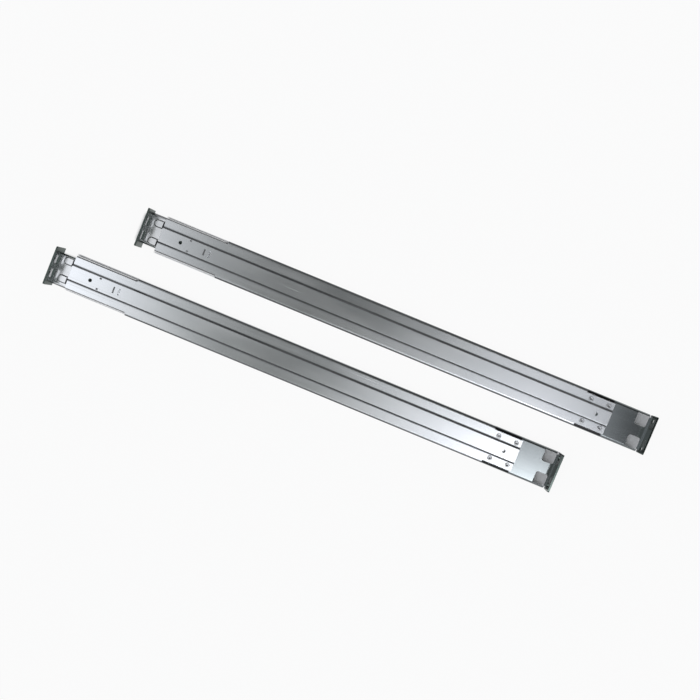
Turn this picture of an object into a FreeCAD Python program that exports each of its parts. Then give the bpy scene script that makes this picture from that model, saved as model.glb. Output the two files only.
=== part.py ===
import FreeCAD, Part
import Sketcher
import math
import os

# A pair of telescoping server rails, lying side by side with their post side up.
# X runs along the rails with the front at +X, Y across them, Z up from the chassis faces.
# Each rail is a three-member ball slide: the outer rail is bolted between the rack's posts
# by a riveted front bracket and a telescoping rear bracket, the middle rail runs in it on
# caged balls, and the inner rail, which the server carries, runs in the middle rail.

LENGTHS = [
    # the pair
    ("overall_length", 584.0),       # from the outside of one ear to the outside of the other
    ("pair_spacing", 75.0),          # between the two rails' centre lines
    ("pair_stagger", 76.0),          # how far the right rail lies ahead of the left one
    # outer rail
    ("rail_height", 43.0),           # over the two races
    ("rail_wall", 1.2),
    ("web_level", 8.3),              # underside of the outer rail's web
    ("lip_level", 0.8),              # lower edge of the races
    ("lip_reach", 0.7),
    ("bend_radius", 3.0),
    ("band_width", 15.3),            # raised band along the middle of the web
    ("band_rise", 1.5),
    ("band_slope", 1.6),             # width of the slope from the band down to the web
    ("band_edge", 0.7),
    ("trimmed_width", 35.6),         # the web beyond the races
    ("front_reveal", 41.0),          # from the inside of an ear to the end of the outer rail
    ("rear_reveal", 15.3),
    ("race_front_setback", 33.0),    # from an end of the outer rail to its races
    ("race_rear_setback", 71.5),
    ("spot_radius", 2.0),            # tooling holes in the band, from the rail's ends
    ("spot_front_setback", 15.5),
    ("spot_rear_setback", 23.7),
    ("notch_setback", 33.9),
    ("notch_length", 2.4),
    ("notch_width", 1.8),
    ("stop_setback", 54.4),          # pressed stop between two slots of the band
    ("stop_length", 4.6),
    ("stop_width", 7.0),
    ("slot_width", 1.7),
    # brackets and ears
    ("bracket_wall", 1.5),
    ("ear_wall", 2.0),
    ("ear_width", 43.0),
    ("ear_reach", 18.0),             # above the web's underside
    ("ear_corner", 1.5),
    ("post_pitch", 15.875),          # hole spacing of the rack's posts
    ("post_hole_radius", 3.5),
    ("post_window", 9.5),            # square holes of the rear ear
    ("relief_length", 13.4),         # openings of the front web, behind the ear
    ("relief_setback", 1.5),
    ("relief_width", 13.0),
    ("relief_offset", 12.7),
    ("relief_corner", 2.5),
    ("rivet_setback", 6.0),
    ("rivet_pitch", 20.5),
    ("rivet_offset", 12.9),
    ("rivet_radius", 1.5),
    ("rivet_head", 2.7),
    ("rivet_height", 0.9),
    ("rivet_gap", 0.05),
    ("rear_height", 38.8),           # over the rear bracket's walls
    ("rear_gap", 2.8),               # from the rear bracket's front edge to the races
    ("bead_width", 8.6),
    ("bead_length", 11.2),
    ("bead_offset", 10.1),
    ("bead_rise", 1.6),
    ("bead_draft", 35.0),            # slope of its sides, in degrees
    ("corner_relief", 4.8),          # corner cut from one side of the rear web
    ("foot_length", 43.0),
    ("foot_width", 32.0),
    # telescoping strip
    ("strip_width", 12.0),
    ("strip_wall", 1.2),
    ("strip_setback", 12.7),
    ("strip_end", 47.7),             # solid length in front of its slot
    ("depth_travel", 180.0),
    ("guide_length", 10.0),
    ("guide_width", 26.0),
    ("guide_wall", 0.9),
    ("guide_setback", 11.2),
    ("guide_pitch", 107.0),
    # middle and inner rails
    ("middle_setback", 3.0),
    ("race_gap", 2.2),               # between neighbouring race walls
    ("outer_race", 4.5),             # height of the ball centres
    ("inner_race", 2.6),
    ("middle_edge", 0.9),
    ("race_round", 0.8),
    ("outer_travel", 260.0),
    ("inner_travel", 300.0),
    ("screw_pitch", 340.0),          # chassis screws in the inner rail
    ("screw_radius", 2.1),
    # balls, cages and stops
    ("ball_radius", 1.5),
    ("ball_gap", 0.03),
    ("cage_wall", 0.4),
    ("cage_rim", 0.6),               # cage strip left beyond a ball
    ("cage_end", 8.0),               # from the end of a cage to its first ball
    ("cage_bridge", 24.0),           # cross piece that joins the two strips
    ("cage_play", 1.0),
    ("crimp_length", 6.0),
    ("crimp_height", 2.0),
    ("crimp_reach", 1.5),
    ("bumper_width", 20.0),
    ("outer_bumper_length", 4.9),    # behind the middle rail
    ("middle_bumper_length", 4.2),   # behind the inner rail
    ("gap", 0.3),                    # clearance between pieces that slide past each other
    ("web_gap", 0.4),                # between the middle rail's web and the brackets above it
    # release lever
    ("catch_setback", 6.0),          # from the front of the middle rail to its catch tab
    ("catch_length", 3.0),
    ("catch_inside", 6.0),           # the tab's near and far sides from the centre line
    ("catch_outside", 9.5),
    ("catch_drop", 3.4),
    ("lever_half", 3.5),
    ("nose_width", 5.7),
    ("nose_length", 5.7),
    ("lever_arm", 68.3),             # from the nose's face to the pivot
    ("grip_arm", 40.0),              # from the pivot to the lever's front end
    ("lever_wall", 1.0),
    ("lever_gap", 0.1),              # under and over the lever
    ("lever_grip", 10.0),
    ("pivot_radius", 1.5),
    ("pivot_head", 3.0),
    ("pivot_rim", 0.6),
    ("spring_height", 1.0),
    ("spring_radius", 3.2),
    # counts
    ("ball_count", 4),
]


class Size:
    """A length of the sheet, or a sum or share of some: its number and its expression."""

    def __init__(self, number, words):
        self.number = number
        self.words = words

    def __add__(self, other):
        other = as_size(other)
        return Size(self.number + other.number, f"({self.words} + {other.words})")

    def __sub__(self, other):
        other = as_size(other)
        return Size(self.number - other.number, f"({self.words} - {other.words})")

    def __mul__(self, factor):
        factor = as_size(factor)
        return Size(self.number * factor.number, f"({self.words} * {factor.words})")

    def __truediv__(self, factor):
        factor = as_size(factor)
        return Size(self.number / factor.number, f"({self.words} / {factor.words})")

    def __neg__(self):
        return self * -1


def as_size(value):
    return value if isinstance(value, Size) else Size(float(value), repr(float(value)))


def in_order(first, second):
    """Two sizes, the lower one first."""
    return sorted([first, second], key=lambda size: size.number)


class Sheet:
    """The spreadsheet of driving lengths, read as Size attributes."""

    def __init__(self, doc):
        cells = doc.addObject("Spreadsheet::Sheet", "Sizes")
        for row, (name, value) in enumerate(LENGTHS, 1):
            cells.set(f"A{row}", name)
            cells.set(f"B{row}", str(value))
            cells.setAlias(f"B{row}", name)
        doc.recompute()
        for name, _ in LENGTHS:
            setattr(self, name, Size(float(cells.get(name)), f"Sizes.{name}"))


def bind(item, name, size):
    """Ties a property to the sheet."""
    item.setExpression(name, as_size(size).words)


# ---------------------------------------------------------------- sketched pieces

def new_body(doc, name):
    body = doc.addObject("PartDesign::Body", name)
    body.Label = name
    return body


def sketch_on(body, role, name, height):
    """An empty sketch on an origin plane of the body, moved along the plane's normal."""
    sketch = body.newObject("Sketcher::SketchObject", name)
    plane = next(item for item in body.Origin.OriginFeatures if item.Role == role)
    sketch.AttachmentSupport = [(plane, "")]
    sketch.MapMode = "FlatFace"
    bind(sketch, "AttachmentOffset.Base.z", height)
    return sketch


def place_point(sketch, edge, point, across, up):
    """Ties a point of the sketch to its two distances from the sketch's origin."""
    for kind, size in (("DistanceX", as_size(across)), ("DistanceY", as_size(up))):
        index = sketch.addConstraint(Sketcher.Constraint(kind, -1, 1, edge, point, size.number))
        bind(sketch, f"Constraints[{index}]", size)


def draw_outline(sketch, corners):
    """A closed outline of straight edges through the corners."""
    first = sketch.GeometryCount
    spots = [FreeCAD.Vector(as_size(x).number, as_size(y).number, 0) for x, y in corners]
    for start, end in zip(spots, spots[1:] + spots[:1]):
        sketch.addGeometry(Part.LineSegment(start, end), False)
    for index, (across, up) in enumerate(corners):
        edge = first + index
        after = first + (index + 1) % len(corners)
        sketch.addConstraint(Sketcher.Constraint("Coincident", edge, 2, after, 1))
        place_point(sketch, edge, 1, across, up)


def draw_rectangle(sketch, left, right, low, high):
    draw_outline(sketch, [(left, low), (right, low), (right, high), (left, high)])


def draw_circle(sketch, across, up, radius):
    centre = FreeCAD.Vector(as_size(across).number, as_size(up).number, 0)
    circle = Part.Circle(centre, FreeCAD.Vector(0, 0, 1), radius.number)
    edge = sketch.addGeometry(circle, False)
    index = sketch.addConstraint(Sketcher.Constraint("Radius", edge, radius.number))
    bind(sketch, f"Constraints[{index}]", radius)
    place_point(sketch, edge, 3, across, up)


def pad(body, sketch, length):
    """Adds material from the sketch along its plane's normal."""
    feature = body.newObject("PartDesign::Pad", f"{sketch.Name}_pad")
    feature.Profile = sketch
    bind(feature, "Length", length)
    return feature


def pocket(body, sketch, depth):
    """Removes material from the sketch against its plane's normal."""
    feature = body.newObject("PartDesign::Pocket", f"{sketch.Name}_pocket")
    feature.Profile = sketch
    bind(feature, "Length", depth)
    return feature


def round_edges(body, name, radius, direction, spots):
    """Rounds the edges that run along one axis through the given spots of the other two."""
    body.Document.recompute()
    base = body.Tip
    others = [axis for axis in range(3) if axis != direction]
    wanted = [(as_size(a).number, as_size(b).number) for a, b in spots]
    found = []
    for number, edge in enumerate(base.Shape.Edges, 1):
        ends = [vertex.Point for vertex in edge.Vertexes]
        if len(ends) != 2 or abs(ends[0][direction] - ends[1][direction]) < 0.01:
            continue
        for spot in wanted:
            if all(abs(end[axis] - value) < 0.005 for end in ends for axis, value in zip(others, spot)):
                found.append(f"Edge{number}")
    feature = body.newObject("PartDesign::Fillet", name)
    feature.Base = (base, found)
    bind(feature, "Radius", radius)
    return feature


def both_sides(corners):
    """A half outline from the upper centre to the lower one, closed by its mirror image."""
    return corners + [(-as_size(across), up) for across, up in reversed(corners)]


def channel(half, top, low, wall):
    """The outline of a bent channel, open below."""
    return both_sides([(half, top), (half, low), (half - wall, low), (half - wall, top - wall)])


# ---------------------------------------------------------------- plain pieces

def place(item, x, y, z):
    for axis, size in zip("xyz", (x, y, z)):
        bind(item, f"Placement.Base.{axis}", size)


def block(doc, name, x, y, z, length, width, height):
    """A box from its lowest corner."""
    item = doc.addObject("Part::Box", name)
    bind(item, "Length", length)
    bind(item, "Width", width)
    bind(item, "Height", height)
    place(item, x, y, z)
    return item


def rod(doc, name, x, y, z, radius, height):
    """An upright cylinder from the centre of its lower face."""
    item = doc.addObject("Part::Cylinder", name)
    bind(item, "Radius", radius)
    bind(item, "Height", height)
    place(item, x, y, z)
    return item


def rivet(doc, name, x, y, low, seat, radius, head, height):
    """A shank that ends flush below and a flat head on its seat."""
    shank = rod(doc, f"{name}_shank", x, y, low, radius, seat - low)
    top = rod(doc, f"{name}_head", x, y, seat, head, height)
    whole = doc.addObject("Part::MultiFuse", name)
    whole.Shapes = [shank, top]
    return whole


def faceted_ball(radius):
    """A ball as an eighteen-sided solid whose corners across any axis reach the radius."""
    flat = radius * math.cos(math.pi / 8)
    centre = FreeCAD.Vector(0, 0, 0)
    cube = Part.makeBox(flat * 2, flat * 2, flat * 2, FreeCAD.Vector(-flat, -flat, -flat))
    ball = cube
    for axis in (FreeCAD.Vector(1, 0, 0), FreeCAD.Vector(0, 1, 0), FreeCAD.Vector(0, 0, 1)):
        turned = cube.copy()
        turned.rotate(centre, axis, 45)
        ball = ball.common(turned)
    return ball.Solids[0]


def group(doc, name, pieces):
    """Separate pieces of one kind, kept together."""
    whole = doc.addObject("Part::Compound", name)
    whole.Links = pieces
    whole.Label = name
    return whole


class Rail:
    """One rail of the pair. Its hand is 1 for the right rail and -1 for the left one."""

    def __init__(self, doc, size, prefix, hand):
        self.doc = doc
        self.size = size
        self.prefix = prefix
        self.hand = hand
        self.nodes = []
        self.levels()

    def levels(self):
        """Heights and half widths that several pieces share."""
        s = self.size
        self.half = s.rail_height / 2
        self.web_top = s.web_level + s.rail_wall
        self.band_half = s.band_width / 2
        self.band_top = self.web_top + s.band_rise
        self.band_foot = self.band_half + s.band_slope
        self.cavity_half = self.band_half - s.rail_wall / 2
        self.ear_inside = s.overall_length / 2 - s.ear_wall
        self.outer_front = self.ear_inside - s.front_reveal
        self.outer_rear = self.ear_inside - s.rear_reveal
        self.race_front = self.outer_front - s.race_front_setback
        self.race_rear = self.outer_rear - s.race_rear_setback
        self.spot_front = self.outer_front - s.spot_front_setback
        self.spot_rear = self.outer_rear - s.spot_rear_setback
        self.stop_rear = self.outer_rear - s.stop_setback
        self.middle_front = self.outer_front - s.middle_setback
        self.middle_rear = self.race_rear - s.outer_bumper_length - s.gap
        self.inner_rear = self.middle_rear - s.middle_bumper_length - s.gap
        self.bracket_low = s.web_level - s.bracket_wall
        self.outer_inside = self.half - s.rail_wall
        self.middle_half = self.outer_inside - s.race_gap
        self.middle_inside = self.middle_half - s.rail_wall
        self.middle_top = self.bracket_low - s.web_gap
        self.middle_low = self.middle_top - s.rail_wall
        self.inner_half = self.middle_inside - s.race_gap
        self.inner_top = self.middle_low - s.cage_wall - s.gap * 2
        self.outer_balls = self.outer_inside - s.race_gap / 2
        self.inner_balls = self.middle_inside - s.race_gap / 2
        self.tab_front = self.middle_front - s.catch_setback
        self.lever_low = s.rail_wall + s.spring_height + s.lever_gap
        self.lever_top = self.lever_low + s.lever_wall

    def body(self, name):
        item = new_body(self.doc, f"{self.prefix}_{name}")
        self.keep(item)
        return item

    def name(self, words):
        return f"{self.prefix}_{words}"

    def keep(self, item):
        """Makes the item a node of this rail and moves it to the rail's place in the pair."""
        place(item, self.size.pair_stagger / 2 * self.hand, self.size.pair_spacing / 2 * self.hand, 0)
        self.nodes.append(item)

    def keep_group(self, name, pieces):
        self.keep(group(self.doc, self.name(name), pieces))

    def side(self, distance):
        """A distance across the rail that is mirrored from one hand to the other."""
        return distance * self.hand

    # ------------------------------------------------------------ outer rail

    def outer_rail(self):
        """A rolled section with a raised band, its races cut away at both ends."""
        s = self.size
        body = self.body("outer_rail")
        lip = self.outer_inside - s.lip_reach
        band = [(self.band_half, self.band_top), (self.band_foot, self.web_top)]
        hollow = [
            (self.cavity_half + s.band_slope, s.web_level),
            (self.cavity_half, s.web_level + s.band_rise),
        ]
        wall = [
            (self.half, self.web_top),
            (self.half, s.lip_level),
            (lip, s.lip_level),
            (lip, s.lip_level * 2),
            (self.outer_inside, s.lip_level * 2),
            (self.outer_inside, s.web_level),
        ]
        races = sketch_on(body, "YZ_Plane", self.name("races"), -self.race_rear)
        draw_outline(races, both_sides(band + wall + hollow))
        pad(body, races, self.race_rear + self.race_front)
        corners = [(self.half * turn, self.web_top) for turn in (1, -1)]
        round_edges(body, self.name("race_bends"), s.bend_radius, 0, corners)
        insides = [(self.outer_inside * turn, s.web_level) for turn in (1, -1)]
        inside_radius = s.bend_radius - s.rail_wall
        round_edges(body, self.name("inside_bends"), inside_radius, 0, insides)

        trimmed = [(s.trimmed_width / 2, self.web_top), (s.trimmed_width / 2, s.web_level)]
        web = sketch_on(body, "YZ_Plane", self.name("web"), -self.outer_rear)
        draw_outline(web, both_sides(band + trimmed + hollow))
        pad(body, web, self.outer_rear + self.outer_front)
        edges = [(self.band_half * turn, self.band_top) for turn in (1, -1)]
        feet = [(self.band_foot * turn, self.web_top) for turn in (1, -1)]
        round_edges(body, self.name("band_edges"), s.band_edge, 0, edges + feet)

        self.ball_grooves(body, "outer_groove", self.outer_balls, s.outer_race, self.race_front,
                          self.race_rear + self.race_front)
        self.web_cuts(body)
        self.pressed_stop(body)
        self.crimps(body, "front_crimps", self.race_front - s.crimp_length, self.outer_inside, -1, s.outer_race)

    def ball_grooves(self, body, name, offset, level, front, length):
        """A groove for the balls on each side, cut from the front backwards."""
        s = self.size
        grooves = sketch_on(body, "YZ_Plane", self.name(name), front)
        for turn in (1, -1):
            draw_circle(grooves, offset * turn, level, s.ball_radius + s.ball_gap)
        pocket(body, grooves, length)

    def web_cuts(self, body):
        """Tooling holes, rivet holes, notches and the two slots beside the pressed stop."""
        s = self.size
        holes = sketch_on(body, "XY_Plane", self.name("web_holes"), self.band_top)
        draw_circle(holes, self.spot_front, 0, s.spot_radius)
        draw_circle(holes, -self.spot_rear, 0, s.spot_radius)
        for x, y in self.rivet_spots():
            draw_circle(holes, x, y, s.rivet_radius + s.rivet_gap)
        notch_outside = self.band_half - s.band_edge
        notch = -self.outer_rear + s.notch_setback
        for turn in (1, -1):
            low, high = in_order(notch_outside * turn, (notch_outside - s.notch_width) * turn)
            draw_rectangle(holes, notch - s.notch_length / 2, notch + s.notch_length / 2, low, high)
            slot = -self.stop_rear + (s.stop_length + s.slot_width) / 2 * turn
            draw_rectangle(holes, slot - s.slot_width / 2, slot + s.slot_width / 2,
                           -s.stop_width / 2, s.stop_width / 2)
        pocket(body, holes, s.band_rise * 2 + s.rail_wall)

    def pressed_stop(self, body):
        """The stop that limits the telescoping strip, pressed down between the slots."""
        s = self.size
        stop = sketch_on(body, "XY_Plane", self.name("pressed_stop"), s.web_level + s.gap)
        draw_rectangle(stop, -self.stop_rear - s.stop_length / 2, -self.stop_rear + s.stop_length / 2,
                       -s.stop_width / 2, s.stop_width / 2)
        pad(body, stop, s.band_rise)

    def crimps(self, body, name, rear, wall, turn, level):
        """Stops pressed out of the race walls, which end the travel of a cage."""
        s = self.size
        lugs = sketch_on(body, "YZ_Plane", self.name(name), rear)
        root = wall - s.rail_wall / 2 * turn
        for side in (1, -1):
            left, right = in_order(root * side, (wall + s.crimp_reach * turn) * side)
            draw_rectangle(lugs, left, right, level - s.crimp_height / 2, level + s.crimp_height / 2)
        pad(body, lugs, s.crimp_length)

    # ------------------------------------------------------------ brackets

    def rivet_spots(self):
        s = self.size
        return [
            (self.outer_front - s.rivet_setback - s.rivet_pitch * step, s.rivet_offset * turn)
            for step in (0, 1)
            for turn in (1, -1)
        ]

    def front_bracket(self):
        """A plated channel that carries the front ear."""
        s = self.size
        body = self.body("front_bracket")
        rear = self.race_front + s.gap
        walls = sketch_on(body, "YZ_Plane", self.name("front_channel"), rear)
        draw_outline(walls, channel(self.half, s.web_level, s.lip_level, s.bracket_wall))
        pad(body, walls, self.ear_inside - s.bracket_wall - rear)
        self.bracket_bends(body, "front", self.half)
        web = sketch_on(body, "XY_Plane", self.name("front_web"), self.bracket_low)
        flat = self.half - s.bend_radius
        draw_rectangle(web, rear, self.ear_inside, -flat, flat)
        pad(body, web, s.bracket_wall)
        self.ear(body, "front_ear", self.ear_inside, self.bracket_low)

        cuts = sketch_on(body, "XY_Plane", self.name("front_cuts"), self.web_top)
        relief_front = self.ear_inside - s.relief_setback
        for turn in (1, -1):
            middle = s.relief_offset * turn
            draw_rectangle(cuts, relief_front - s.relief_length, relief_front,
                           middle - s.relief_width / 2, middle + s.relief_width / 2)
        draw_circle(cuts, self.spot_front, 0, s.spot_radius + s.gap)
        for x, y in self.rivet_spots():
            draw_circle(cuts, x, y, s.rivet_radius + s.rivet_gap)
        pocket(body, cuts, s.rail_wall + s.bracket_wall * 2)
        corners = [
            (edge, (s.relief_offset - s.relief_width / 2) * turn)
            for turn in (1, -1)
            for edge in (relief_front - s.relief_length, relief_front)
        ]
        round_edges(body, self.name("relief_corners"), s.relief_corner, 2, corners)

        holes = sketch_on(body, "YZ_Plane", self.name("post_holes"), self.ear_inside + s.ear_wall)
        for turn in (1, -1):
            draw_circle(holes, s.post_pitch * turn, self.post_level(), s.post_hole_radius)
        pocket(body, holes, s.ear_wall)

    def bracket_bends(self, body, name, half):
        """Rounds the two bends of a bracket's channel, outside and inside."""
        s = self.size
        outside = [(half * turn, s.web_level) for turn in (1, -1)]
        round_edges(body, self.name(f"{name}_bends"), s.bend_radius, 0, outside)
        inside = [((half - s.bracket_wall) * turn, self.bracket_low) for turn in (1, -1)]
        radius = s.bend_radius - s.bracket_wall
        round_edges(body, self.name(f"{name}_inside_bends"), radius, 0, inside)

    def post_level(self):
        """Height of the fixing holes in both ears."""
        return self.size.web_level + self.size.ear_reach / 2

    def ear(self, body, name, rear, low):
        """An upright plate with rounded upper corners."""
        s = self.size
        top = s.web_level + s.ear_reach
        face = sketch_on(body, "YZ_Plane", self.name(name), rear)
        draw_rectangle(face, -s.ear_width / 2, s.ear_width / 2, low, top)
        pad(body, face, s.ear_wall)
        corners = [(s.ear_width / 2 * turn, top) for turn in (1, -1)]
        round_edges(body, self.name(f"{name}_corners"), s.ear_corner, 0, corners)

    def front_rivets(self):
        s = self.size
        pieces = []
        for number, (x, y) in enumerate(self.rivet_spots(), 1):
            pieces.append(rivet(self.doc, self.name(f"rivet_{number}"), x, y, self.bracket_low,
                                self.web_top, s.rivet_radius, s.rivet_head, s.rivet_height))
        self.keep_group("front_rivets", pieces)

    def rear_bracket(self):
        """A channel under the outer rail's end that draws out to reach the rear posts."""
        s = self.size
        body = self.body("rear_bracket")
        half = s.rear_height / 2
        walls = sketch_on(body, "YZ_Plane", self.name("rear_channel"), -self.ear_inside)
        draw_outline(walls, channel(half, s.web_level, s.lip_level, s.bracket_wall))
        pad(body, walls, self.ear_inside - self.race_rear - s.rear_gap)
        self.bracket_bends(body, "rear", half)

        cuts = sketch_on(body, "XY_Plane", self.name("rear_cuts"), self.web_top)
        low, high = in_order(self.side(half - s.corner_relief), self.side(half + s.gap))
        draw_rectangle(cuts, -self.ear_inside - s.gap, -self.outer_rear - s.gap, -high, -low)
        draw_circle(cuts, -self.spot_rear, 0, s.spot_radius + s.gap)
        pocket(body, cuts, self.web_top)

        for turn, name in ((1, "upper_bead"), (-1, "lower_bead")):
            self.stop_bead(body, name, s.bead_offset * turn)

    def stop_bead(self, body, name, middle):
        """A pressed bead whose end meets the outer rail when the bracket is pushed in."""
        s = self.size
        radius = s.bead_width / 2
        front = -self.outer_rear - s.gap
        centre = front - s.bead_length + radius
        sketch = sketch_on(body, "XY_Plane", self.name(name), s.web_level)
        outline = [(front, middle - radius), (front, middle + radius)]
        for degrees in range(90, 271, 30):
            turn = math.radians(degrees)
            outline.append((centre + radius * round(math.cos(turn), 6),
                            middle + radius * round(math.sin(turn), 6)))
        draw_outline(sketch, outline)
        bead = pad(body, sketch, s.bead_rise)
        bind(bead, "TaperAngle", -s.bead_draft)

    def rear_ear(self):
        """An angle plate under the rear bracket's web, with two square post holes."""
        s = self.size
        body = self.body("rear_ear")
        low = self.bracket_low - s.bracket_wall
        foot = sketch_on(body, "XY_Plane", self.name("ear_foot"), low)
        draw_rectangle(foot, -self.ear_inside, -self.ear_inside + s.foot_length,
                       -s.foot_width / 2, s.foot_width / 2)
        pad(body, foot, s.bracket_wall)
        self.ear(body, "rear_plate", -self.ear_inside - s.ear_wall, low)
        windows = sketch_on(body, "YZ_Plane", self.name("post_windows"), -self.ear_inside)
        for turn in (1, -1):
            middle = s.post_pitch / 2 * turn
            draw_rectangle(windows, middle - s.post_window / 2, middle + s.post_window / 2,
                           self.post_level() - s.post_window / 2, self.post_level() + s.post_window / 2)
        pocket(body, windows, s.ear_wall)

    def depth_strip(self):
        """The long strip in the band's hollow that keeps the drawn-out rear bracket straight."""
        s = self.size
        body = self.body("depth_strip")
        strip = sketch_on(body, "XY_Plane", self.name("strip"), s.web_level)
        half = s.strip_width / 2
        slot_front = -self.stop_rear + s.stop_length / 2 + s.depth_travel + s.gap
        rear = -self.outer_rear + s.strip_setback
        draw_rectangle(strip, rear, slot_front + s.strip_end, -half, half)
        pad(body, strip, s.strip_wall)
        cuts = sketch_on(body, "XY_Plane", self.name("strip_cuts"), s.web_level + s.strip_wall)
        draw_rectangle(cuts, -self.stop_rear - s.stop_length / 2 - s.gap, slot_front,
                       -s.stop_width / 2 - s.gap, s.stop_width / 2 + s.gap)
        draw_circle(cuts, -self.spot_rear, 0, s.spot_radius + s.gap)
        pocket(body, cuts, s.strip_wall)

    def strip_guides(self):
        """Two straps spot-welded under the web, on which the strip slides."""
        s = self.size
        pieces = []
        for number in (0, 1):
            x = -self.race_rear + s.guide_setback + s.guide_pitch * number - s.guide_length / 2
            pieces.append(block(self.doc, self.name(f"guide_{number + 1}"), x, -s.guide_width / 2,
                                s.web_level - s.guide_wall, s.guide_length, s.guide_width, s.guide_wall))
        self.keep_group("strip_guides", pieces)

    # ------------------------------------------------------------ sliding members

    def middle_rail(self):
        """The channel between the two rows of balls on each side."""
        s = self.size
        body = self.body("middle_rail")
        section = sketch_on(body, "YZ_Plane", self.name("middle_section"), -self.middle_rear)
        draw_outline(section, channel(self.middle_half, self.middle_top, s.middle_edge, s.rail_wall))
        length = self.middle_rear + self.middle_front
        pad(body, section, length)
        corners = [(self.middle_half * turn, self.middle_top) for turn in (1, -1)]
        round_edges(body, self.name("middle_bends"), s.race_round, 0, corners)
        self.ball_grooves(body, "middle_outer_groove", self.outer_balls, s.outer_race, self.middle_front, length)
        self.ball_grooves(body, "middle_inner_groove", self.inner_balls, s.inner_race, self.middle_front, length)
        self.crimps(body, "middle_rear_crimps", -self.middle_rear, self.middle_half, 1, s.outer_race)
        self.crimps(body, "middle_front_crimps", self.middle_front - s.crimp_length, self.middle_inside,
                    -1, s.inner_race)
        tab = sketch_on(body, "XY_Plane", self.name("catch_tab"), self.middle_low - s.catch_drop)
        low, high = in_order(self.side(s.catch_inside), self.side(s.catch_outside))
        draw_rectangle(tab, self.tab_front - s.catch_length, self.tab_front, low, high)
        pad(body, tab, s.catch_drop)

    def inner_rail(self):
        """The shallow channel that is screwed to the server's side."""
        s = self.size
        body = self.body("inner_rail")
        half = self.inner_half
        section = sketch_on(body, "YZ_Plane", self.name("inner_section"), -self.inner_rear)
        draw_outline(section, both_sides([
            (half - s.rail_wall, s.rail_wall),
            (half - s.rail_wall, self.inner_top),
            (half, self.inner_top),
            (half, 0),
        ]))
        length = self.inner_rear + self.middle_front
        pad(body, section, length)
        round_edges(body, self.name("inner_bends"), s.race_round, 0, [(half, 0), (-half, 0)])
        self.ball_grooves(body, "inner_groove", self.inner_balls, s.inner_race, self.middle_front, length)
        self.crimps(body, "inner_rear_crimps", -self.inner_rear, half, 1, s.inner_race)
        screws = sketch_on(body, "XY_Plane", self.name("chassis_screws"), s.rail_wall)
        centre = (self.middle_front - self.inner_rear) / 2
        for turn in (1, -1):
            draw_circle(screws, centre + s.screw_pitch / 2 * turn, 0, s.screw_radius)
        pocket(body, screws, s.rail_wall)

    def cage_span(self, rear, front, travel):
        """The rear end and the length of a cage that both crimps meet at full travel."""
        s = self.size
        low = -rear + travel + s.crimp_length + s.cage_play
        high = front - s.crimp_length - s.cage_play
        return low - travel / 2, high - low

    def ball_cage(self, name, rear, length, offset, level, top, bridges):
        """Two thin strips that space the balls, joined by cross pieces."""
        s = self.size
        body = self.body(f"{name}_cage")
        half = offset + s.cage_wall / 2
        low = level - s.ball_radius - s.cage_rim
        section = sketch_on(body, "YZ_Plane", self.name(f"{name}_cage_section"), rear)
        draw_outline(section, channel(half, top, low, s.cage_wall))
        pad(body, section, length)
        window = sketch_on(body, "XY_Plane", self.name(f"{name}_cage_window"), top)
        front = rear + length - s.cage_bridge if bridges == 2 else rear + length
        inside = half - s.cage_wall * 3
        draw_rectangle(window, rear + s.cage_bridge, front, -inside, inside)
        pocket(body, window, s.cage_wall)

        hole = sketch_on(body, "XZ_Plane", self.name(f"{name}_ball_window"), half)
        reach = s.ball_radius + s.ball_gap
        first = rear + s.cage_end
        draw_rectangle(hole, first - reach, first + reach, level - reach, level + reach)
        window = pocket(body, hole, half * 2)
        row = body.newObject("PartDesign::LinearPattern", self.name(f"{name}_ball_windows"))
        row.Originals = [window]
        row.Direction = (hole, ["H_Axis"])
        bind(row, "Length", length - s.cage_end * 2)
        bind(row, "Occurrences", s.ball_count)
        body.Tip = row
        self.ball_row(name, first, length - s.cage_end * 2, offset, level)

    def ball_row(self, name, first, length, offset, level):
        """The balls of one cage, in a row on each side."""
        s = self.size
        count = int(s.ball_count.number)
        pitch = length.number / (count - 1)
        ball = faceted_ball(s.ball_radius.number)
        balls = []
        for step in range(count):
            for turn in (1, -1):
                spot = (first.number + pitch * step, offset.number * turn, level.number)
                copy = ball.copy()
                copy.translate(FreeCAD.Vector(*spot))
                balls.append(copy)
        item = self.doc.addObject("Part::Feature", self.name(f"{name}_balls"))
        item.Label = item.Name
        item.Shape = Part.makeCompound(balls)
        self.keep(item)

    def cages(self):
        s = self.size
        rear, length = self.cage_span(self.middle_rear, self.race_front, s.outer_travel)
        top = self.middle_top + s.gap + s.cage_wall
        self.ball_cage("outer", rear, length, self.outer_balls, s.outer_race, top, 2)
        rear, length = self.cage_span(self.inner_rear, self.middle_front, s.inner_travel)
        top = self.inner_top + s.gap + s.cage_wall
        self.ball_cage("inner", rear, length, self.inner_balls, s.inner_race, top, 1)

    def bumpers(self):
        """Rubber blocks that the middle and inner rails meet when they are pushed home."""
        s = self.size
        half = s.bumper_width / 2
        outer = block(self.doc, self.name("outer_block"), -self.race_rear, -half, self.middle_low,
                      s.outer_bumper_length, s.bumper_width, s.web_level - self.middle_low)
        self.keep_group("outer_bumper", [outer])
        middle = block(self.doc, self.name("middle_block"), -self.middle_rear, -half, s.rail_wall,
                       s.middle_bumper_length, s.bumper_width,
                       self.middle_low - s.rail_wall)
        self.keep_group("middle_bumper", [middle])

    # ------------------------------------------------------------ release lever

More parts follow.
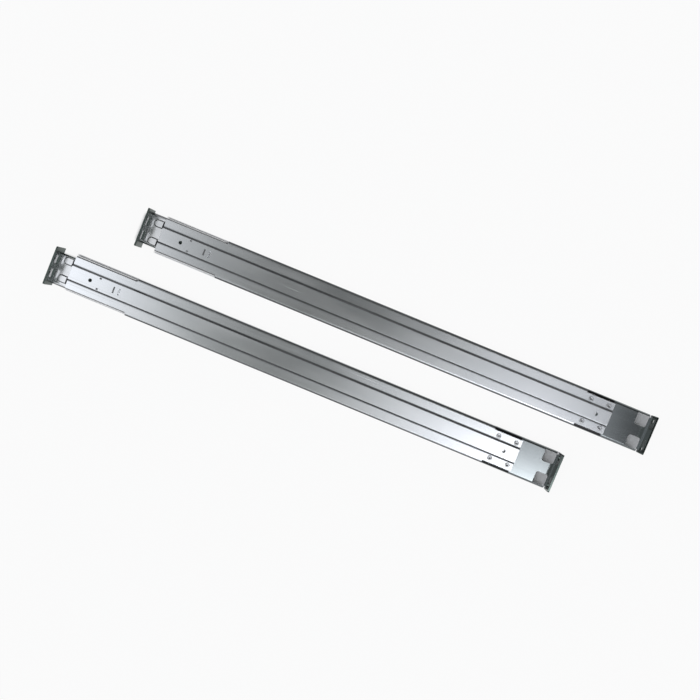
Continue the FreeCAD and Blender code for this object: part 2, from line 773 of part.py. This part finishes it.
    def release_lever(self):
        """A flat lever whose nose stops the middle rail's tab, with a turned-up grip."""
        s = self.size
        body = self.body("release_lever")
        nose_front = self.tab_front - s.catch_length - s.inner_travel - s.gap
        half = s.lever_half
        nose_rear = nose_front - s.nose_length
        pivot_front = nose_front + s.lever_arm
        front = pivot_front + s.grip_arm
        outline = [
            (nose_rear, -half),
            (front, -half),
            (front, half),
            (nose_front, half),
            (nose_front, half + s.nose_width),
            (nose_rear, half + s.nose_width),
        ]
        plate = sketch_on(body, "XY_Plane", self.name("lever_plate"), self.lever_low)
        draw_outline(plate, [(x, self.side(as_size(y))) for x, y in outline])
        pad(body, plate, s.lever_wall)
        grip = sketch_on(body, "XY_Plane", self.name("lever_grip"), self.lever_low)
        draw_rectangle(grip, front - s.lever_grip, front,
                       -half - s.lever_wall, half + s.lever_wall)
        pad(body, grip, s.lever_wall)
        bore = sketch_on(body, "XY_Plane", self.name("lever_bore"), self.lever_top)
        draw_circle(bore, pivot_front, 0, s.pivot_radius + s.rivet_gap)
        pocket(body, bore, s.lever_wall)

        seat = self.lever_top + s.lever_gap
        pivot = rivet(self.doc, self.name("pivot"), pivot_front, 0, s.rail_wall, seat,
                      s.pivot_radius, s.pivot_head, s.pivot_rim)
        self.keep_group("lever_pivot", [pivot])

        coil = rod(self.doc, self.name("coil_outside"), pivot_front, 0, s.rail_wall,
                   s.spring_radius, s.spring_height)
        core = rod(self.doc, self.name("coil_inside"), pivot_front, 0, s.rail_wall,
                   s.pivot_radius + s.gap, s.spring_height)
        spring = self.doc.addObject("Part::Cut", self.name("coil"))
        spring.Base = coil
        spring.Tool = core
        self.keep_group("lever_spring", [spring])

    def build(self):
        self.outer_rail()
        self.front_bracket()
        self.front_rivets()
        self.strip_guides()
        self.bumpers()
        self.rear_bracket()
        self.rear_ear()
        self.depth_strip()
        self.middle_rail()
        self.inner_rail()
        self.cages()
        self.release_lever()
        return self.nodes


def check(doc, nodes):
    """Stops if a feature failed, a cut removed nothing or a node isn't sound."""
    for item in doc.Objects:
        if "Invalid" in item.State or "Error" in item.State:
            raise RuntimeError(f"{item.Name} failed")
        if item.TypeId == "PartDesign::Pocket":
            if item.Shape.Volume >= item.BaseFeature.Shape.Volume - 1e-6:
                raise RuntimeError(f"{item.Name} cuts nothing")
    for node in nodes:
        if node.Shape.isNull() or not node.Shape.isValid() or not node.Shape.Solids:
            raise RuntimeError(f"{node.Label} isn't a sound solid")


def main():
    doc = FreeCAD.newDocument("ServerRailPair")
    size = Sheet(doc)
    nodes = Rail(doc, size, "left", -1).build() + Rail(doc, size, "right", 1).build()
    doc.recompute()
    check(doc, nodes)
    os.makedirs("parts", exist_ok=True)
    for node in nodes:
        node.Shape.exportStep(f"parts/{node.Label}.step")


main()
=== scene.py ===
import math

import bmesh
import bpy
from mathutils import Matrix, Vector


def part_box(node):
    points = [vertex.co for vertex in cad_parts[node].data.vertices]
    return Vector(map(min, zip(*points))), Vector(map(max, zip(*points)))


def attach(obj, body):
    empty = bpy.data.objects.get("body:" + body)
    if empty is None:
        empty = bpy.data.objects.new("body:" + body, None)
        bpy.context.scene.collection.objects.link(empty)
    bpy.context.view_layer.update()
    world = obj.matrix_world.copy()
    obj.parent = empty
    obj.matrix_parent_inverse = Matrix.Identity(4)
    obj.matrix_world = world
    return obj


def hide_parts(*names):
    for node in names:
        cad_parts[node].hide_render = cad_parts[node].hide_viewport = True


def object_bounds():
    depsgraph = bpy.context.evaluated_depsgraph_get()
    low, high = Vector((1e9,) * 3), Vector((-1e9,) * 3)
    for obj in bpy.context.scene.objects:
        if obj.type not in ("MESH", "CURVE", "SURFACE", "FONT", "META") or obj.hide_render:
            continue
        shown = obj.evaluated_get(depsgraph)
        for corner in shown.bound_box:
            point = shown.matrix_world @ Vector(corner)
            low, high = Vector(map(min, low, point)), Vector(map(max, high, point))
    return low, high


# A pair of sliding server rails, dressed: the sheet-metal members keep their solids and get their
# finishes here, and the balls, rivet heads, springs and rubber buffers are made again, smooth and whole.

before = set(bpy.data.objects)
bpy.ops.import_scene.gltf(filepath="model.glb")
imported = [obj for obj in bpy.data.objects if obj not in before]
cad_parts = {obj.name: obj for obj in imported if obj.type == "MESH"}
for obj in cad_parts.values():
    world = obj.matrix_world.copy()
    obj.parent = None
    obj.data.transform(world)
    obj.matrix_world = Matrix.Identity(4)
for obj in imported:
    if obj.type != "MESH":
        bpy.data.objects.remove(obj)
solid_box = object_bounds()

MM = 0.001
SIDES = ("left", "right")

# Where the rails lie, for the finishes that change along them or across them.
RAIL_AXIS = 37.5 * MM  # from the middle of the pair to a rail's centre line
HALF_STAGGER = 38.0 * MM  # how far each rail's middle lies ahead of the pair's, or behind it
RAIL_FRONT = 249.0 * MM  # from a rail's middle to the front end of its outer rail
BAND_FOOT = 9.2 * MM  # from a rail's centre line to the foot of its raised band
EAR_BEND_LOW = 11.5 * MM  # heights between which a front bracket's plate turns up into its ear
EAR_BEND_HIGH = 13.5 * MM

# Sizes of the small pieces that the source's solids only outline.
BALL_RADIUS = 1.5 * MM
BALLS_A_SIDE = 4
SHANK_RADIUS = 1.5 * MM
SHANK_BEVEL = 0.15 * MM
RIVET_HEAD_RADIUS = 2.7 * MM
RIVET_HEAD_HEIGHT = 0.9 * MM
RIVET_DIMPLE_RADIUS = 0.9 * MM
PIVOT_HEAD_RADIUS = 3.0 * MM
PIVOT_HEAD_HEIGHT = 0.6 * MM
SPRING_WIRE_RADIUS = 0.22 * MM
SPRING_COIL_RADIUS = 2.8 * MM
SPRING_TURNS = 1.75
SPRING_RAIL_LEG = 5 * MM
SPRING_LEVER_LEG = 4.5 * MM
BUFFER_ROUNDING = 0.6 * MM
BUFFER_PADS = 3
BUFFER_GROOVE = 0.8 * MM  # how deep the grooves between its pads are
BUFFER_SHOULDER = 3.1 * MM  # length of the full-height ends, beside the strip that passes over it
BUFFER_RELIEF = 0.15 * MM  # how much lower it is under the strip


# ---------------------------------------------------------------- shader values


class Value:
    """A number, colour or vector inside a finish. Arithmetic on it adds the nodes that work it out."""

    def __init__(self, finish, socket):
        self.finish = finish
        self.socket = socket

    def maths(self, operation, *others):
        """The value put through a Math node of that operation."""
        return self.finish.node("ShaderNodeMath", {"operation": operation}, [self, *others])

    def __add__(self, other):
        return self.maths("ADD", other)

    __radd__ = __add__

    def __mul__(self, other):
        return self.maths("MULTIPLY", other)

    __rmul__ = __mul__

    def __sub__(self, other):
        return self.maths("SUBTRACT", other)

    def __rsub__(self, other):
        return self.finish.node("ShaderNodeMath", {"operation": "SUBTRACT"}, [other, self])

    def __abs__(self):
        return self.maths("ABSOLUTE")

    def between(self, low, high):
        """0 below low, 1 above high and a soft step from one to the other."""
        settings = {"interpolation_type": "SMOOTHSTEP"}
        inputs = {"Value": self, "From Min": low, "From Max": high}
        return self.finish.node("ShaderNodeMapRange", settings, inputs)

    def output(self, name):
        return Value(self.finish, self.socket.node.outputs[name])


class Finish:
    """A node tree being filled: a material's or the world's."""

    def __init__(self, owner):
        owner.use_nodes = True
        self.owner = owner
        self.tree = owner.node_tree
        self.tree.nodes.clear()

    def node(self, kind, settings=None, inputs=None):
        """Adds a node, sets it up, feeds its sockets and gives back its first output."""
        node = self.tree.nodes.new(kind)
        for name, setting in (settings or {}).items():
            setattr(node, name, setting)
        pairs = inputs.items() if isinstance(inputs, dict) else enumerate(inputs or [])
        for key, value in pairs:
            socket = node.inputs[key]
            if isinstance(value, Value):
                self.tree.links.new(value.socket, socket)
            else:
                socket.default_value = value
        return Value(self, node.outputs[0]) if node.outputs else None

    def place(self):
        """Coordinates that stay with the metal, in metres."""
        return self.node("ShaderNodeTexCoord").output("Object")

    def noise(self, along, across, detail=2.0, roughness=0.5):
        """Noise from 0 to 1, with so many cells a metre along the rolling direction and across it."""
        scale = (along, across, across)
        where = self.node("ShaderNodeVectorMath", {"operation": "MULTIPLY"}, [self.place(), scale])
        inputs = {"Vector": where, "Scale": 1.0, "Detail": detail, "Roughness": roughness}
        return self.node("ShaderNodeTexNoise", None, inputs)

    def mix(self, amount, first, second):
        """A colour that goes from the first to the second."""
        inputs = {0: amount, 6: first, 7: second}
        return self.node("ShaderNodeMix", {"data_type": "RGBA", "clamp_factor": True}, inputs).output(2)

    def bump(self, height, distance, strength, normal=None):
        """A surface direction tilted by a height, on top of another direction if one is given."""
        inputs = {"Height": height, "Distance": distance, "Strength": strength}
        if normal is not None:
            inputs["Normal"] = normal
        return self.node("ShaderNodeBump", None, inputs)

    def rounded_edges(self, radius):
        """The surface's direction, turned at its edges as if they were rounded."""
        return self.node("ShaderNodeBevel", {"samples": 4}, {"Radius": radius})

    def edge(self, rounded):
        """1 on a sharp edge of the sheet and 0 on its faces."""
        flat = self.node("ShaderNodeNewGeometry").output("Normal")
        likeness = self.node("ShaderNodeVectorMath", {"operation": "DOT_PRODUCT"}, [rounded, flat])
        return (1 - likeness.output("Value")).between(0.02, 0.25)

    def apart(self, vector):
        """A vector whose X, Y and Z are taken as its outputs."""
        return self.node("ShaderNodeSeparateXYZ", None, [vector])

    def upward(self):
        """1 where the surface faces up, 0 where it is upright and below 0 where it faces down."""
        facing = self.node("ShaderNodeNewGeometry").output("Normal")
        return self.apart(facing).output("Z")

    def ear(self):
        """1 on a front bracket's upright ear, painted dark as shade, and 0 on its plate."""
        return self.apart(self.place()).output("Z").between(EAR_BEND_LOW, EAR_BEND_HIGH)

    def painted_shade_under_rail(self):
        """1 on a front bracket's upper side where the outer rail covers it, painted dark as shade."""
        where = self.apart(self.place())
        from_middle = where.output("X") - where.output("Y").maths("SIGN") * HALF_STAGGER
        painted_floor_shadow = 1 - from_middle.between(RAIL_FRONT - 2.0 * MM, RAIL_FRONT - 1.0 * MM)
        return painted_floor_shadow * self.upward().between(0.5, 0.8)

    def painted_corner_shade(self):
        """1 in the corner where the raised band's sides meet the web of either rail, where shade is
        painted.
        """
        from_axis = abs(abs(self.apart(self.place()).output("Y")) - RAIL_AXIS)
        return 1 - abs(from_axis - BAND_FOOT).between(0.1 * MM, 1.5 * MM)

    def painted_slope_shade(self):
        """1 on the sloping sides of the pressed band and beads, where shade is painted as a dark line."""
        upward = self.upward()
        return (1 - upward).between(0.03, 0.2) * upward.between(0.3, 0.6)

    def surface(self, **inputs):
        """Puts the finish on its shader and gives back the material."""
        named = {key.replace("_", " "): value for key, value in inputs.items()}
        shader = self.node("ShaderNodeBsdfPrincipled", None, named)
        self.node("ShaderNodeOutputMaterial", None, {"Surface": shader})
        return self.owner


def grey(level, warmth=0.0):
    """A grey of that level, bluish if warmth is below zero."""
    return (level * (1 + warmth), level, level * (1 - warmth), 1.0)


# ---------------------------------------------------------------- finishes


# The rear ears' black plating; on the front brackets' ears the same black is painted shade.
BLACK_PLATING_AND_EAR_SHADE = (0.085, 0.105, 0.095, 1.0)
FRONT_GREY = (0.29, 0.31, 0.31, 1.0)
# Painted shade on a front bracket's plate where the outer rail covers it.
UNDER_RAIL_SHADE = grey(0.03)
# Painted shade in the corners at the feet of the pressed band.
CORNER_SHADE_GREY = grey(0.12, -0.05)
# Painted shade along the sloping sides of bands, beads and rivet domes.
SLOPE_SHADE_GREY = grey(0.05, -0.05)
BARE_STEEL = grey(0.45, 0.02)


def plated_steel(name, colour, gloss, wear=0.0, slope_shade=0.0, corner_shade=0.0, ear=None):
    """Rolled sheet with a plated skin: fine lines along the rail, clouding, painted shade and worn edges.

    Gloss is the roughness it starts from. Wear and the two painted shades, along the band's sloping sides
    and in the corners at their feet, are shares from 0 to 1. Ear is the colour of the upright part of a
    front bracket, painted dark as shade; with an ear, the plate under the outer rail is painted dark too.
    """
    finish = Finish(bpy.data.materials.new(name))
    grain = finish.noise(16, 2400, 2.0, 0.6)
    clouds = finish.noise(11, 55, 3.0, 0.55)
    speckle = finish.noise(800, 800, 1.0)
    scuffs = finish.noise(5, 900, 1.0).between(0.66, 0.74)
    rounded = finish.rounded_edges(0.3 * MM)
    tone = clouds.between(0.3, 0.7) * 0.5 + speckle.between(0.35, 0.65) * 0.2 + grain * 0.3
    clouded = (colour[0] * 0.84, colour[1] * 0.855, colour[2] * 0.87, 1.0)
    skin = finish.mix(tone, clouded, colour)
    if ear is not None:
        # Painted shade: the upright ear in black.
        skin = finish.mix(finish.ear(), skin, ear)
        # Painted shade: the plate under the outer rail near black.
        skin = finish.mix(finish.painted_shade_under_rail(), skin, UNDER_RAIL_SHADE)
    # Painted shade in the corners at the band's feet.
    if corner_shade:
        skin = finish.mix(finish.painted_corner_shade() * corner_shade * (0.7 + clouds * 0.6), skin, CORNER_SHADE_GREY)
    # Painted shade: a dark line along the sloping sides.
    if slope_shade:
        skin = finish.mix(finish.painted_slope_shade() * slope_shade * (0.75 + clouds * 0.5), skin, SLOPE_SHADE_GREY)
    if wear:
        rubbed = finish.edge(rounded) * speckle.between(0.3, 0.6) * wear
        skin = finish.mix(rubbed, skin, BARE_STEEL)
    rolled = grain * 0.7 + speckle * 0.2 - scuffs * 0.3
    return finish.surface(
        Base_Color=skin,
        Metallic=1.0,
        Roughness=gloss + (clouds - 0.5) * 0.10 + (grain - 0.5) * 0.08 + scuffs * 0.06,
        Normal=finish.bump(rolled, 0.006 * MM, 0.3, rounded),
    )


def rubber(name):
    """Moulded black rubber with a fine matt grain."""
    finish = Finish(bpy.data.materials.new(name))
    grain = finish.noise(1500, 1500, 3.0)
    return finish.surface(
        Base_Color=finish.mix(grain, grey(0.018), grey(0.035)),
        Roughness=0.62 + grain * 0.2,
        Normal=finish.bump(grain, 0.05 * MM, 0.5),
    )


def polished_steel(name):
    """Bright ball steel under a thin uneven film of grease."""
    finish = Finish(bpy.data.materials.new(name))
    film = finish.noise(500, 500)
    return finish.surface(
        Base_Color=finish.mix(film, grey(0.72), grey(0.82)),
        Metallic=1.0,
        Roughness=0.08 + film * 0.1,
        Normal=finish.bump(film, 0.002 * MM, 0.3),
    )


zinc = plated_steel("bright_zinc", grey(0.80, -0.01), 0.2)
# The dark lines on the bands' slopes and in the corners at their feet are painted shade.
rail_zinc = plated_steel("rail_zinc", grey(0.80, -0.01), 0.2, slope_shade=0.95, corner_shade=0.65)
bracket_zinc = plated_steel("bracket_zinc", grey(0.97), 0.3, slope_shade=0.85)
rivet_zinc = plated_steel("rivet_zinc", grey(0.7), 0.22, slope_shade=0.85)
# The depth strip is painted dark so that the slots over it show it as shade.
strip_steel_in_painted_shade = plated_steel("strip_steel_in_painted_shade", grey(0.25, 0.01), 0.25)
# Its ear's black and its plate under the rail are painted shade.
front_zinc = plated_steel("front_zinc", FRONT_GREY, 0.12, slope_shade=0.4, ear=BLACK_PLATING_AND_EAR_SHADE)
lever_zinc = plated_steel("lever_zinc", grey(0.5, -0.02), 0.24)
black_plating = plated_steel("black_plating", BLACK_PLATING_AND_EAR_SHADE, 0.3, wear=0.3)
cage_finish = plated_steel("cage_spring_steel", grey(0.55, 0.01), 0.28)
ball_finish = polished_steel("ball_steel")
bumper_rubber = rubber("bumper_rubber")

NODE_FINISHES = {
    "outer_rail": rail_zinc,
    "front_bracket": front_zinc,
    "front_rivets": zinc,
    "strip_guides": zinc,
    "outer_bumper": bumper_rubber,
    "rear_bracket": bracket_zinc,
    "rear_ear": black_plating,
    "depth_strip": strip_steel_in_painted_shade,
    "middle_rail": zinc,
    "middle_bumper": bumper_rubber,
    "inner_rail": zinc,
    "inner_cage": cage_finish,
    "inner_balls": ball_finish,
    "outer_cage": cage_finish,
    "outer_balls": ball_finish,
    "release_lever": lever_zinc,
    "lever_pivot": zinc,
    "lever_spring": cage_finish,
}

for side in SIDES:
    for piece, finish in NODE_FINISHES.items():
        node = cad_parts[f"{side}_{piece}"]
        node.data.materials.clear()
        node.data.materials.append(finish)


# ---------------------------------------------------------------- small pieces


def quarter_round(radius, steps=4):
    """(across, up) points of a quarter round, from the side of an edge to its top."""
    angles = [math.pi / 2 * step / steps for step in range(steps + 1)]
    return [(radius * math.cos(angle), radius * math.sin(angle)) for angle in angles]


def turned(build, centre, profile, steps=36):
    """A turned solid on an upright axis, from (radius, height) pairs listed from the bottom up."""
    rings = []
    for radius, height in profile:
        count = steps if radius > 0 else 1
        angles = [2 * math.pi * step / steps for step in range(count)]
        places = [(radius * math.cos(angle), radius * math.sin(angle), height) for angle in angles]
        rings.append([build.verts.new(centre + Vector(place)) for place in places])
    for lower, upper in zip(rings, rings[1:]):
        for step in range(steps):
            after = (step + 1) % steps
            if len(lower) == 1:
                build.faces.new((lower[0], upper[step], upper[after]))
            elif len(upper) == 1:
                build.faces.new((lower[step], lower[after], upper[0]))
            else:
                build.faces.new((lower[step], lower[after], upper[after], upper[step]))


def skin_over(build, rings):
    """Joins each ring of points to the next one and closes both ends."""
    for first, second in zip(rings, rings[1:]):
        count = len(first)
        for number in range(count):
            after = (number + 1) % count
            build.faces.new((first[number], first[after], second[after], second[number]))
    build.faces.new(rings[0])
    build.faces.new(rings[-1])


def wire(build, path, radius, steps=10):
    """A round wire along a path."""
    rings = []
    for number, point in enumerate(path):
        before = path[max(number - 1, 0)]
        after = path[min(number + 1, len(path) - 1)]
        heading = (after - before).normalized()
        aside = heading.cross(Vector((0, 0, 1))).normalized()
        upward = aside.cross(heading)
        ring = []
        for step in range(steps):
            angle = 2 * math.pi * step / steps
            outward = aside * math.cos(angle) + upward * math.sin(angle)
            ring.append(build.verts.new(point + outward * radius))
        rings.append(ring)
    skin_over(build, rings)


def finish_piece(build, name, finish, node, body):
    """Makes the mesh, smooths it, and lets it stand for the node on its body."""
    bmesh.ops.recalc_face_normals(build, faces=build.faces)
    mesh = bpy.data.meshes.new(name)
    build.to_mesh(mesh)
    build.free()
    mesh.materials.append(finish)
    mesh.shade_smooth()
    piece = bpy.data.objects.new(name, mesh)
    bpy.context.scene.collection.objects.link(piece)
    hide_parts(node)
    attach(piece, body)


def spaced(low, high, count):
    """Evenly spaced numbers, the first at low and the last at high."""
    return [low + (high - low) * step / (count - 1) for step in range(count)]


def ball_row(side, row):
    """The polished balls of one cage."""
    node = f"{side}_{row}_balls"
    low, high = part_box(node)
    middle = (low + high) / 2
    inset = (high.z - low.z) / 2
    arc = spaced(0, math.pi, 15)
    profile = [(BALL_RADIUS * math.sin(angle), -BALL_RADIUS * math.cos(angle)) for angle in arc]
    profile[0] = (0, -BALL_RADIUS)
    profile[-1] = (0, BALL_RADIUS)
    build = bmesh.new()
    for x in spaced(low.x + inset, high.x - inset, BALLS_A_SIDE):
        for y in (low.y + inset, high.y - inset):
            turned(build, Vector((x, y, middle.z)), profile, 24)
    finish_piece(build, f"{side}_{row}_ball_set", ball_finish, node, f"{side}_{row}_ball_row")


def rivet_profile(shank, head, low, seat, top, dimple=0.0):
    """(radius, height) pairs of a shank under a domed head, with a dimple in its crown if one is given."""
    dome = (top - seat) * 0.75
    profile = [(0, low), (shank - SHANK_BEVEL, low), (shank, low + SHANK_BEVEL)]
    profile += [(shank, seat), (head, seat)]
    profile += [(head - dome + across, top - dome + up) for across, up in quarter_round(dome, 6)]
    if dimple:
        profile += [(dimple + 0.35 * MM, top), (dimple + 0.1 * MM, top - 0.1 * MM)]
        profile += [(dimple, top - 0.4 * MM), (0, top - 0.5 * MM)]
    else:
        profile += [(0, top)]
    return profile


def front_rivets(side):
    """Four rivets that hold the front bracket under the outer rail."""
    node = f"{side}_front_rivets"
    low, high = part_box(node)
    head = RIVET_HEAD_RADIUS
    seat = high.z - RIVET_HEAD_HEIGHT
    profile = rivet_profile(SHANK_RADIUS, head, low.z, seat, high.z, RIVET_DIMPLE_RADIUS)
    build = bmesh.new()
    for x in (low.x + head, high.x - head):
        for y in (low.y + head, high.y - head):
            turned(build, Vector((x, y, 0)), profile)
    finish_piece(build, f"{side}_rivet_heads", rivet_zinc, node, "outer_rails")


def lever_pivot(side):
    """The shouldered rivet that the lever turns on."""
    node = f"{side}_lever_pivot"
    low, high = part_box(node)
    middle = (low + high) / 2
    seat = high.z - PIVOT_HEAD_HEIGHT
    profile = rivet_profile(SHANK_RADIUS, PIVOT_HEAD_RADIUS, low.z, seat, high.z)
    build = bmesh.new()
    turned(build, Vector((middle.x, middle.y, 0)), profile)
    finish_piece(build, f"{side}_pivot_rivet", zinc, node, f"{side}_inner_member")


def lever_spring(side, hand):
    """A torsion spring round the pivot, with a leg on the rail and a leg on the lever."""
    node = f"{side}_lever_spring"
    low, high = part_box(node)
    middle = (low + high) / 2
    bottom = low.z + SPRING_WIRE_RADIUS
    top = high.z - SPRING_WIRE_RADIUS
    path = [Vector((middle.x - SPRING_RAIL_LEG, middle.y - SPRING_COIL_RADIUS * hand, bottom))]
    for turned_share in spaced(0, 1, 61):
        angle = -math.pi / 2 + 2 * math.pi * SPRING_TURNS * turned_share
        x = middle.x + SPRING_COIL_RADIUS * math.cos(angle)
        y = middle.y + SPRING_COIL_RADIUS * math.sin(angle) * hand
        path.append(Vector((x, y, bottom + (top - bottom) * turned_share)))
    path.append(path[-1] + Vector((0, SPRING_LEVER_LEG * hand, 0)))
    build = bmesh.new()
    wire(build, path, SPRING_WIRE_RADIUS)
    finish_piece(build, f"{side}_torsion_spring", cage_finish, node, f"{side}_inner_member")


def rounded_section(rear, front, bottom, top):
    """(x, z) points round a buffer's cross-section, with its four corners rounded."""
    section = []
    corners = ((front, top, 1, 1), (rear, top, -1, 1), (rear, bottom, -1, -1), (front, bottom, 1, -1))
    for x, z, turn_x, turn_z in corners:
        points = []
        for across, up in quarter_round(BUFFER_ROUNDING):
            points.append((x + (across - BUFFER_ROUNDING) * turn_x, z + (up - BUFFER_ROUNDING) * turn_z))
        section += points if turn_x * turn_z > 0 else points[::-1]
    return section


def bumper(side, row, body):
    """A moulded rubber buffer with crowned pads on its front and rounded corners."""
    node = f"{side}_{row}_bumper"
    low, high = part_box(node)
    build = bmesh.new()
    rings = []
    for share in spaced(0, 1, 61):
        y = low.y + (high.y - low.y) * share
        from_end = min(y - low.y, high.y - y)
        inset = 0.0
        if from_end < BUFFER_ROUNDING:
            short = BUFFER_ROUNDING - from_end
            inset = BUFFER_ROUNDING - math.sqrt(max(BUFFER_ROUNDING**2 - short**2, 0))
        groove = 0.0
        if 0.1 <= share <= 0.9:
            groove = BUFFER_GROOVE * max(0.0, 1 - abs(math.sin(BUFFER_PADS * math.pi * share)) * 2.5)
        relief = BUFFER_RELIEF if from_end > BUFFER_SHOULDER else 0.0
        front = high.x - inset - groove
        top = high.z - inset - relief
        section = rounded_section(low.x + inset, front, low.z + inset, top)
        rings.append([build.verts.new((x, y, z)) for x, z in section])
    skin_over(build, rings)
    finish_piece(build, f"{side}_{row}_buffer", bumper_rubber, node, body)


# The rails mirror each other, so their levers' springs are wound opposite ways.
for side, hand in (("left", 1), ("right", -1)):
    ball_row(side, "outer")
    ball_row(side, "inner")
    front_rivets(side)
    lever_pivot(side)
    lever_spring(side, hand)
    bumper(side, "outer", "outer_rails")
    bumper(side, "middle", f"{side}_middle_member")


# ---------------------------------------------------------------- floor, light and camera


def patch(where, low, high, soft_along, soft_across):
    """1 over a flat patch of the floor, fading out over the given widths outside it."""
    inside = 1
    edges = (("X", low.x, high.x, soft_along), ("Y", low.y, high.y, soft_across))
    for axis, start, end, soft in edges:
        from_middle = abs(where.output(axis) - (start + end) / 2)
        half = (end - start) / 2
        inside = (1 - from_middle.between(half, half + soft)) * inside
    return inside


def outside_floor_shadow(finish):
    """A painted shadow on the floor: 0 under a rail and in a patch behind its rear ear, 1 elsewhere; there
    the floor loses its glow and shows grey in the rails' openings.
    """
    where = finish.apart(finish.place())
    side_inset = Vector((0, 0.8 * MM, 0))
    front_inset = Vector((1.5 * MM, 0, 0))
    window_reach = 7 * MM  # how far behind a rear ear its windows show the floor
    half_width = 13 * MM
    painted_floor_shadow = 0
    for side in SIDES:
        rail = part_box(f"{side}_outer_rail")
        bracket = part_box(f"{side}_front_bracket")
        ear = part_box(f"{side}_rear_ear")
        low = rail[0] + side_inset
        high = bracket[1] - side_inset - front_inset
        under = patch(where, low, high, 4 * MM, 1 * MM)
        axis = (ear[0].y + ear[1].y) / 2
        behind_ear = Vector((ear[0].x - window_reach, axis - half_width, 0))
        rail_end = Vector((rail[0].x, axis + half_width, 0))
        rear = patch(where, behind_ear, rail_end, 5 * MM, 5 * MM)
        painted_floor_shadow = under.maths("MAXIMUM", rear) + painted_floor_shadow
    return 1 - painted_floor_shadow


def pale_floor():
    """A wide pale sheet under the rails, bright enough to read as paper white."""
    reach = 6.0
    gap = 0.2 * MM
    glow = 0.92
    mesh = bpy.data.meshes.new("floor")
    build = bmesh.new()
    bmesh.ops.create_grid(build, x_segments=1, y_segments=1, size=reach)
    build.to_mesh(mesh)
    build.free()
    floor = bpy.data.objects.new("floor", mesh)
    floor.location.z = solid_box[0][2] - gap
    bpy.context.scene.collection.objects.link(floor)
    finish = Finish(bpy.data.materials.new("floor_paper"))
    paper = finish.node("ShaderNodeBsdfDiffuse", None, {"Color": grey(0.96)})
    bright = finish.node("ShaderNodeEmission", None, {"Color": grey(1.0), "Strength": 1.0})
    path = finish.node("ShaderNodeLightPath")
    seen = path.output("Is Camera Ray").maths("MAXIMUM", path.output("Is Glossy Ray"))
    seen = seen.maths("MAXIMUM", path.output("Is Transmission Ray"))
    share = seen * outside_floor_shadow(finish) * glow
    mixed = finish.node("ShaderNodeMixShader", None, [share, paper, bright])
    finish.node("ShaderNodeOutputMaterial", None, {"Surface": mixed})
    mesh.materials.append(finish.owner)


def studio_light():
    """A pale dome with a dim band overhead, soft panels round it and a white horizon.

    Every range below is of a direction's share along the rails, across them or straight up.
    """
    world = bpy.data.worlds.new("studio")
    bpy.context.scene.world = world
    dome = Finish(world)
    direction = dome.apart(dome.node("ShaderNodeTexCoord").output("Generated"))
    along = direction.output("X")
    across = direction.output("Y")
    up = direction.output("Z")

    # The dome itself is brighter on the left rail's side and dimmer on the right rail's.
    dome_level = (1.3 - across.between(-0.2, 0.15) * 0.78) * (0.66 + up.between(0.8, 0.9) * 0.34)

    # The dim band overhead ends where the rails' front and rear ends mirror the dome.
    ahead = (along - across.maths("MAXIMUM", -0.12) * 0.6).between(-0.02, 0.17)
    behind = 1 - along.between(-0.37, -0.14)
    overhead = (1 - ahead) * (1 - behind) * up.between(0.4, 0.75)

    # Soft panels high above the front end of the left rail, its front bracket and both rear ends.
    panel = along.between(0.08, 0.18) * (1 - across.between(-0.125, -0.08)) * up.between(0.9, 0.95)
    bracket_side = 1 - across.between(-0.115, -0.08)
    bracket_panel = along.between(0.165, 0.21) * bracket_side * up.between(0.9, 0.95)
    rear_panel = (1 - along.between(-0.36, -0.28)) * up.between(0.85, 0.92)
    panels = panel * 0.9 + bracket_panel * 4.0 + rear_panel * 0.6

    # Beyond the front ears it is nearly dark, so that the right rail's front plate stays dark.
    beyond = along.between(0.262, 0.3) * up.between(0.7, 0.85)
    sky = (dome_level + panels) * (1 - overhead * 0.84) * (1 - beyond * 0.88)

    # Lower down the dome is dim, and the horizon is as white as the floor.
    rim = 1 - (up + across * 0.25).between(0.0, 0.45)
    horizon = 1 - up.between(0.14, 0.3)
    light = sky * (1 - rim * 0.8) * (1 - horizon) + horizon * 0.97
    tint = dome.mix(overhead, (0.97, 0.99, 1.04, 1.0), (0.955, 1.0, 0.96, 1.0))
    tint = dome.mix(horizon, tint, grey(1.0))
    back = dome.node("ShaderNodeBackground", None, {"Color": tint, "Strength": light})
    dome.node("ShaderNodeOutputWorld", None, {"Surface": back})


def camera():
    """High above the pair, turned so that the rails run downhill to their front ends."""
    height = 0.9
    aside = Vector((0.0316, 0.0388, 0))  # from above the middle of the pair
    turn = (-2.17, 1.345, 22.372)  # degrees
    low, high = solid_box
    middle = (low + high) / 2
    lens = bpy.data.cameras.new("camera")
    lens.sensor_width = 36.0
    lens.lens = 42.4
    lens.shift_x = -0.03
    lens.shift_y = 0.0129
    eye = bpy.data.objects.new("camera", lens)
    eye.location = (middle.x + aside.x, middle.y + aside.y, height)
    eye.rotation_euler = [math.radians(angle) for angle in turn]
    bpy.context.scene.collection.objects.link(eye)
    bpy.context.scene.camera = eye


pale_floor()
studio_light()
camera()

bpy.context.scene.view_settings.view_transform = "Standard"
